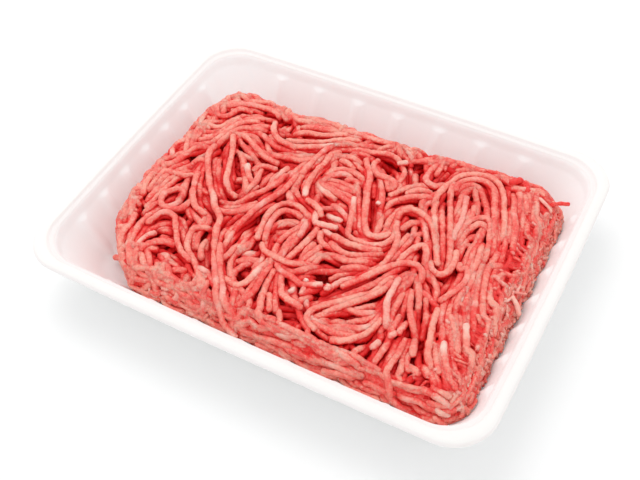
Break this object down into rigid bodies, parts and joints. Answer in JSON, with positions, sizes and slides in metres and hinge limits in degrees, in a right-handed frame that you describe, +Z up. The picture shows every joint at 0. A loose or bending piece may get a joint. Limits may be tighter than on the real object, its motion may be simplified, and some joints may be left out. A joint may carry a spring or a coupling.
{
  "type": "meat tray pack",
  "caption": "Open rectangular foam tray with a flat rim and ribbed sloping walls, holding a slab of raw minced meat pressed from long strands.",
  "frame": {"origin": "on the ground under the middle of the tray", "axes": "+X along the long side, +Y along the short side towards the gap behind the meat, +Z up"},
  "size_m": [0.2, 0.156, 0.029],
  "materials": {
    "white_foam": "matte expanded foam",
    "minced_meat": "moist raw meat"
  },
  "bodies": {
    "root": {"tray": "white_foam", "ground_meat": "minced_meat"}
  },
  "joints": []
}
